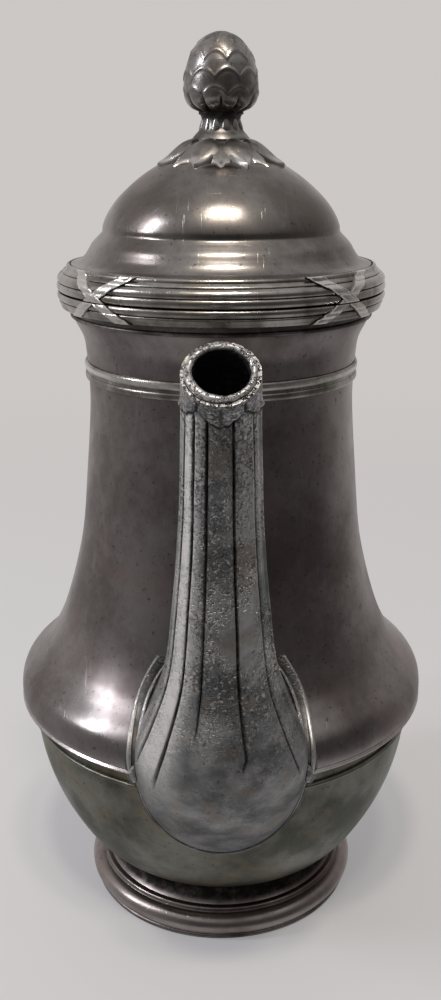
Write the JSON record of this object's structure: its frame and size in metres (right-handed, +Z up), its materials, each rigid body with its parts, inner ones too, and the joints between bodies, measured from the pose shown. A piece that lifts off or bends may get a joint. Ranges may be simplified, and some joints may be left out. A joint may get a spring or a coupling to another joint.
{
  "type": "coffee pot",
  "caption": "Tall pear-shaped pot with a hinged domed lid, bud finial, reeded ribbon-tied rim, upright fluted spout and insulated loop handle, for serving hot coffee.",
  "frame": {"origin": "centre of the foot's resting face, on the pot's own axis, which is also the middle of its box in plan", "axes": "+Z up along the pot's axis; the spout points along -Y; the hinge and the handle are at +Y; +X is to the right of someone facing the spout"},
  "size_m": [0.116, 0.1912, 0.24],
  "materials": {
    "silver_body": "tarnished silver plate over brass, brownish grey, softly polished",
    "silver_bowl": "tarnished silver plate over brass, greenish grey",
    "silver_foot": "tarnished silver plate over brass, worn bright on its edges",
    "silver_band": "silver plate, bright on the reeds and black in the grooves",
    "silver_lid": "tarnished silver plate over brass, smooth",
    "silver_finial": "cast silver plate, bright on high points and black in the hollows",
    "silver_spout": "cast silver plate, paler, pitted and scratched",
    "silver_handle": "cast silver plate, hand-worn",
    "insulator": "pale cream, satin, like bone",
    "brass_fittings": "bare brass, dull"
  },
  "bodies": {
    "root": {"foot_ring": "silver_foot", "foot_wire": "silver_foot", "lower_bowl": "silver_bowl", "seam_wire": "silver_bowl", "upper_body": "silver_body", "neck_bead": "silver_band", "neck_fillet": "silver_band", "body_rim_band": "silver_band", "body_ribbon_ties": "silver_band", "spout_left_half": "silver_spout", "spout_right_half": "silver_spout", "spout_lip_wire": "silver_spout", "spout_leaf_left": "silver_spout", "spout_leaf_right": "silver_spout", "hinge_body_knuckles": "silver_band", "hinge_pin": "brass_fittings", "handle_socket_upper": "silver_handle", "handle_socket_lower": "silver_handle", "insulator_upper": "insulator", "insulator_lower": "insulator", "handle_cup_upper": "silver_handle", "handle_cup_lower": "silver_handle", "handle": "silver_handle", "handle_thumb_leaf": "silver_handle", "handle_pins": "silver_handle"},
    "lid": {"lid_dome": "silver_lid", "lid_rim_band": "silver_band", "lid_ribbon_ties": "silver_band", "lid_bezel": "silver_lid", "leaf_rosette": "silver_finial", "finial": "silver_finial", "finial_washer": "brass_fittings", "finial_nut": "brass_fittings", "hinge_lid_knuckle": "silver_band"}
  },
  "joints": [
    {"name": "lid_hinge", "type": "hinge", "parent": "root", "child": "lid", "pos_m": [0, 0.04565, 0.17735], "axis": [-1, 0, 0], "range_deg": [0, 100]}
  ]
}
